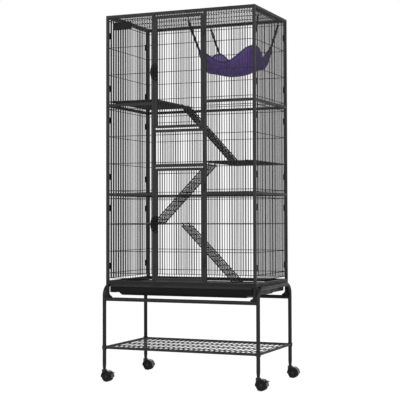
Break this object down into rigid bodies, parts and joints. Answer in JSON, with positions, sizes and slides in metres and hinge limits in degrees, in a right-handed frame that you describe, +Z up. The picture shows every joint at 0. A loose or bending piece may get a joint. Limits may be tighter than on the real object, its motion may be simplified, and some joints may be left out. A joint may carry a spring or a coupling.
{
  "type": "ferret cage",
  "caption": "Tall dark wire cage for ferrets on a rolling stand, with front doors, mesh shelves and ladders, a purple hammock, a pull-out tray and braked casters.",
  "frame": {"origin": "on the floor under the middle of the outline, with the casters trailing to the right", "axes": "+X to the cage's right seen from the front, +Y to the back, +Z up; the doors are at -Y"},
  "size_m": [0.8469, 0.487, 1.7527],
  "materials": {
    "stand_tube": "semi-gloss powder coat",
    "cage_coat": "hammered powder coat",
    "runner_coat": "satin powder coat",
    "shelf_coat": "satin powder coat",
    "ladder_coat": "satin powder coat",
    "tray_plastic": "moulded, lightly textured",
    "black_plastic": "moulded",
    "wheel_rubber": "moulded tread",
    "purple_cloth": "woven cloth",
    "black_webbing": "woven webbing",
    "dark_metal": "bent wire"
  },
  "bodies": {
    "cage": {"stand_left_frame": "stand_tube", "stand_right_frame": "stand_tube", "stand_front_rail": "stand_tube", "stand_back_rail": "stand_tube", "stand_shelf": "stand_tube", "base_frame": "cage_coat", "tray_runners": "runner_coat", "front_left_bay": "cage_coat", "front_right_bay": "cage_coat", "front_bridge": "cage_coat", "front_top_rail": "cage_coat", "back_panel": "cage_coat", "left_panel": "cage_coat", "right_panel": "cage_coat", "top_panel": "cage_coat", "panel_clips": "black_plastic", "door_hinge_leaves": "cage_coat", "upper_latch_keeper": "black_plastic", "lower_latch_keeper": "black_plastic", "shelf_top_left": "shelf_coat", "shelf_middle_right": "shelf_coat", "shelf_bottom_left": "shelf_coat", "hammock": "purple_cloth", "hammock_straps": "black_webbing", "strap_hooks": "dark_metal"},
    "upper_door": {"upper_door": "cage_coat", "upper_latch_case": "black_plastic"},
    "upper_bolt": {"upper_latch_bolt": "black_plastic"},
    "lower_door": {"lower_door": "cage_coat", "lower_latch_case": "black_plastic"},
    "lower_bolt": {"lower_latch_bolt": "black_plastic"},
    "tray": {"tray": "tray_plastic"},
    "floor_grate": {"floor_grate": "shelf_coat"},
    "ladder_top": {"ladder_top": "ladder_coat"},
    "ladder_middle": {"ladder_middle": "ladder_coat"},
    "ladder_bottom": {"ladder_bottom": "ladder_coat"},
    "caster_front_left": {"caster_fork_front_left": "black_plastic"},
    "wheels_front_left": {"wheels_front_left": "wheel_rubber"},
    "caster_front_right": {"caster_fork_front_right": "black_plastic"},
    "wheels_front_right": {"wheels_front_right": "wheel_rubber"},
    "caster_back_left": {"caster_fork_back_left": "black_plastic"},
    "wheels_back_left": {"wheels_back_left": "wheel_rubber"},
    "caster_back_right": {"caster_fork_back_right": "black_plastic"},
    "wheels_back_right": {"wheels_back_right": "wheel_rubber"},
    "brake_front_left": {"brake_front_left": "black_plastic"},
    "brake_front_right": {"brake_front_right": "black_plastic"}
  },
  "joints": [
    {"name": "upper_door_hinge", "type": "hinge", "parent": "cage", "child": "upper_door", "pos_m": [0.10332, -0.2329, 1.46717], "axis": [0, 0, 1], "range_deg": [0, 170]},
    {"name": "lower_door_hinge", "type": "hinge", "parent": "cage", "child": "lower_door", "pos_m": [0.10332, -0.2329, 0.74843], "axis": [0, 0, 1], "range_deg": [0, 170]},
    {"name": "upper_bolt_slide", "type": "slide", "parent": "upper_door", "child": "upper_bolt", "axis": [-1, 0, 0], "range_m": [0, 0.012]},
    {"name": "lower_bolt_slide", "type": "slide", "parent": "lower_door", "child": "lower_bolt", "axis": [-1, 0, 0], "range_m": [0, 0.012]},
    {"name": "tray_slide", "type": "slide", "parent": "cage", "child": "tray", "axis": [0, -1, 0], "range_m": [0, 0.42]},
    {"name": "floor_grate_slide", "type": "slide", "parent": "cage", "child": "floor_grate", "axis": [0, -1, 0], "range_m": [0, 0.4]},
    {"name": "ladder_top_lift", "type": "hinge", "parent": "cage", "child": "ladder_top", "pos_m": [-0.14151, 0.12, 1.33835], "axis": [0, -1, 0], "range_deg": [0, 40]},
    {"name": "ladder_middle_lift", "type": "hinge", "parent": "cage", "child": "ladder_middle", "pos_m": [0.09714, -0.093, 1.03975], "axis": [0, 1, 0], "range_deg": [0, 40]},
    {"name": "ladder_bottom_lift", "type": "hinge", "parent": "cage", "child": "ladder_bottom", "pos_m": [-0.14151, 0.12, 0.75015], "axis": [0, -1, 0], "range_deg": [0, 40]},
    {"name": "swivel_front_left", "type": "hinge", "parent": "cage", "child": "caster_front_left", "pos_m": [-0.41268, -0.227, 0.058], "axis": [0, 0, 1], "continuous": true},
    {"name": "roll_front_left", "type": "hinge", "parent": "caster_front_left", "child": "wheels_front_left", "pos_m": [-0.39568, -0.227, 0.025], "axis": [0, 1, 0], "continuous": true},
    {"name": "swivel_front_right", "type": "hinge", "parent": "cage", "child": "caster_front_right", "pos_m": [0.36832, -0.227, 0.058], "axis": [0, 0, 1], "continuous": true},
    {"name": "roll_front_right", "type": "hinge", "parent": "caster_front_right", "child": "wheels_front_right", "pos_m": [0.38532, -0.227, 0.025], "axis": [0, 1, 0], "continuous": true},
    {"name": "swivel_back_left", "type": "hinge", "parent": "cage", "child": "caster_back_left", "pos_m": [-0.41268, 0.227, 0.058], "axis": [0, 0, 1], "continuous": true},
    {"name": "roll_back_left", "type": "hinge", "parent": "caster_back_left", "child": "wheels_back_left", "pos_m": [-0.39568, 0.227, 0.025], "axis": [0, 1, 0], "continuous": true},
    {"name": "swivel_back_right", "type": "hinge", "parent": "cage", "child": "caster_back_right", "pos_m": [0.36832, 0.227, 0.058], "axis": [0, 0, 1], "continuous": true},
    {"name": "roll_back_right", "type": "hinge", "parent": "caster_back_right", "child": "wheels_back_right", "pos_m": [0.38532, 0.227, 0.025], "axis": [0, 1, 0], "continuous": true},
    {"name": "brake_lever_front_left", "type": "hinge", "parent": "caster_front_left", "child": "brake_front_left", "pos_m": [-0.37532, -0.227, 0.04333], "axis": [0, 1, 0], "range_deg": [0, 12]},
    {"name": "brake_lever_front_right", "type": "hinge", "parent": "caster_front_right", "child": "brake_front_right", "pos_m": [0.40568, -0.227, 0.04333], "axis": [0, 1, 0], "range_deg": [0, 12]}
  ]
}
